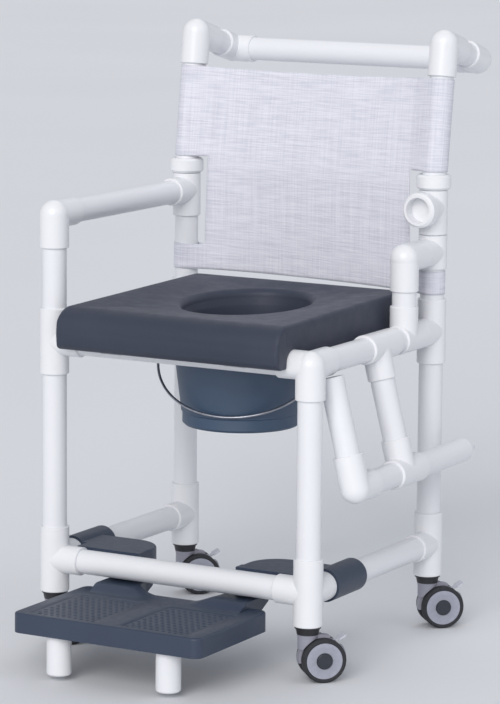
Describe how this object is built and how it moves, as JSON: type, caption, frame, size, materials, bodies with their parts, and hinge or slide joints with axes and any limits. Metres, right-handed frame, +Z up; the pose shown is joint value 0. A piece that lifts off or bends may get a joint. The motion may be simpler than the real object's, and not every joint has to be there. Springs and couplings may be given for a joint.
{
  "type": "shower commode chair",
  "caption": "White pipe-frame shower commode chair with sling back, padded open seat, sliding pail, sliding footrest, drop arm and braked twin-wheel casters.",
  "frame": {"origin": "on the floor, midway between the four legs", "axes": "+Z up, front of the chair towards -Y, +X towards the sitter's left, where the drop arm is"},
  "size_m": [0.6103, 0.8797, 1.0591],
  "materials": {
    "pvc_pipe": "smooth extruded white pipe",
    "pvc_fitting": "moulded white pipe fitting",
    "sling_mesh": "light grey woven mesh",
    "seat_skin": "soft dark slate foam skin",
    "seat_board": "dark moulded board",
    "clip_plastic": "pale moulded clip",
    "pail_plastic": "dark blue-grey moulded pail",
    "bail_wire": "bent steel wire",
    "footrest_plastic": "dark slate moulded plastic",
    "caster_black": "black moulded plastic",
    "caster_grey": "light grey moulded hood",
    "caster_wheel": "grey disc with a black tread",
    "brake_grey": "light grey moulded pedal"
  },
  "bodies": {
    "frame": {"arm_elbow": "pvc_fitting", "arm_post": "pvc_pipe", "arm_socket_collar": "pvc_fitting", "arm_socket_tee": "pvc_fitting", "arm_tee": "pvc_fitting", "arm_tube": "pvc_pipe", "back_post_left": "pvc_pipe", "back_post_right": "pvc_pipe", "back_sling": "sling_mesh", "brace_elbow": "pvc_fitting", "brace_rail_tee": "pvc_fitting", "brace_tee": "pvc_fitting", "brace_tube": "pvc_pipe", "caster_inserts": "caster_black", "handle_tubes": "pvc_pipe", "leg_tubes": "pvc_pipe", "lower_corner_front_left": "pvc_fitting", "lower_corner_front_right": "pvc_fitting", "lower_rail_front": "pvc_pipe", "lower_rails_side": "pvc_pipe", "lower_tees_back": "pvc_fitting", "push_bar": "pvc_pipe", "rear_elbows": "pvc_fitting", "recline_collars": "pvc_fitting", "seat_corner_front_left": "pvc_fitting", "seat_cross_front_right": "pvc_fitting", "seat_rails_cross": "pvc_pipe", "seat_rails_side": "pvc_pipe", "seat_tees_back": "pvc_fitting", "top_elbows": "pvc_fitting", "upper_posts": "pvc_pipe"},
    "seat": {"seat_cushion": "seat_skin", "seat_board": "seat_board", "seat_saddles": "clip_plastic", "seat_clips_rear": "clip_plastic", "pail_slides": "clip_plastic"},
    "pail": {"pail": "pail_plastic"},
    "bail": {"pail_bail": "bail_wire"},
    "footrest": {"footrest_plate": "footrest_plastic", "footrest_feet": "pvc_pipe"},
    "drop_arm": {"drop_slip_tee": "pvc_fitting", "drop_post_middle": "pvc_pipe", "drop_arm_tee": "pvc_fitting", "drop_arm_tube": "pvc_pipe", "drop_arm_plug": "pvc_fitting", "drop_arm_elbow": "pvc_fitting", "drop_post_front": "pvc_pipe"},
    "caster_front_right": {"caster_yoke_front_right": "caster_grey"},
    "wheels_front_right": {"caster_wheels_front_right": "caster_wheel"},
    "pedal_front_right": {"caster_pedal_front_right": "brake_grey"},
    "caster_front_left": {"caster_yoke_front_left": "caster_grey"},
    "wheels_front_left": {"caster_wheels_front_left": "caster_wheel"},
    "pedal_front_left": {"caster_pedal_front_left": "brake_grey"},
    "caster_back_right": {"caster_yoke_back_right": "caster_grey"},
    "wheels_back_right": {"caster_wheels_back_right": "caster_wheel"},
    "pedal_back_right": {"caster_pedal_back_right": "brake_grey"},
    "caster_back_left": {"caster_yoke_back_left": "caster_grey"},
    "wheels_back_left": {"caster_wheels_back_left": "caster_wheel"},
    "pedal_back_left": {"caster_pedal_back_left": "brake_grey"}
  },
  "joints": [
    {"name": "seat_tip", "type": "hinge", "parent": "frame", "child": "seat", "pos_m": [0, 0.223, 0.533], "axis": [-1, 0, 0], "range_deg": [0, 18]},
    {"name": "pail_slide", "type": "slide", "parent": "seat", "child": "pail", "axis": [0, 1, 0], "range_m": [0, 0.2]},
    {"name": "bail_swing", "type": "hinge", "parent": "pail", "child": "bail", "pos_m": [0, -0.011, 0.492], "axis": [-0.9659, -0.2588, 0], "range_deg": [0, 35]},
    {"name": "footrest_slide", "type": "slide", "parent": "frame", "child": "footrest", "axis": [0, 1, 0], "range_m": [0, 0.229]},
    {"name": "drop_arm_swing", "type": "hinge", "parent": "frame", "child": "drop_arm", "pos_m": [0.25, 0, 0.533], "axis": [0, -1, 0], "range_deg": [0, 151]},
    {"name": "swivel_front_right", "type": "hinge", "parent": "frame", "child": "caster_front_right", "pos_m": [-0.25, -0.223, 0.08], "axis": [0, 0, 1], "continuous": true},
    {"name": "roll_front_right", "type": "hinge", "parent": "caster_front_right", "child": "wheels_front_right", "pos_m": [-0.23217, -0.20694, 0.0375], "axis": [-0.6691, 0.7431, 0], "continuous": true},
    {"name": "brake_front_right", "type": "hinge", "parent": "caster_front_right", "child": "pedal_front_right", "pos_m": [-0.21804, -0.19423, 0.0645], "axis": [-0.6691, 0.7431, 0], "range_deg": [0, 14]},
    {"name": "swivel_front_left", "type": "hinge", "parent": "frame", "child": "caster_front_left", "pos_m": [0.25, -0.223, 0.08], "axis": [0, 0, 1], "continuous": true},
    {"name": "roll_front_left", "type": "hinge", "parent": "caster_front_left", "child": "wheels_front_left", "pos_m": [0.26783, -0.20694, 0.0375], "axis": [-0.6691, 0.7431, 0], "continuous": true},
    {"name": "brake_front_left", "type": "hinge", "parent": "caster_front_left", "child": "pedal_front_left", "pos_m": [0.28196, -0.19423, 0.0645], "axis": [-0.6691, 0.7431, 0], "range_deg": [0, 14]},
    {"name": "swivel_back_right", "type": "hinge", "parent": "frame", "child": "caster_back_right", "pos_m": [-0.25, 0.223, 0.08], "axis": [0, 0, 1], "continuous": true},
    {"name": "roll_back_right", "type": "hinge", "parent": "caster_back_right", "child": "wheels_back_right", "pos_m": [-0.23217, 0.23906, 0.0375], "axis": [-0.6691, 0.7431, 0], "continuous": true},
    {"name": "brake_back_right", "type": "hinge", "parent": "caster_back_right", "child": "pedal_back_right", "pos_m": [-0.21804, 0.25177, 0.0645], "axis": [-0.6691, 0.7431, 0], "range_deg": [0, 14]},
    {"name": "swivel_back_left", "type": "hinge", "parent": "frame", "child": "caster_back_left", "pos_m": [0.25, 0.223, 0.08], "axis": [0, 0, 1], "continuous": true},
    {"name": "roll_back_left", "type": "hinge", "parent": "caster_back_left", "child": "wheels_back_left", "pos_m": [0.26783, 0.23906, 0.0375], "axis": [-0.6691, 0.7431, 0], "continuous": true},
    {"name": "brake_back_left", "type": "hinge", "parent": "caster_back_left", "child": "pedal_back_left", "pos_m": [0.28196, 0.25177, 0.0645], "axis": [-0.6691, 0.7431, 0], "range_deg": [0, 14]}
  ]
}
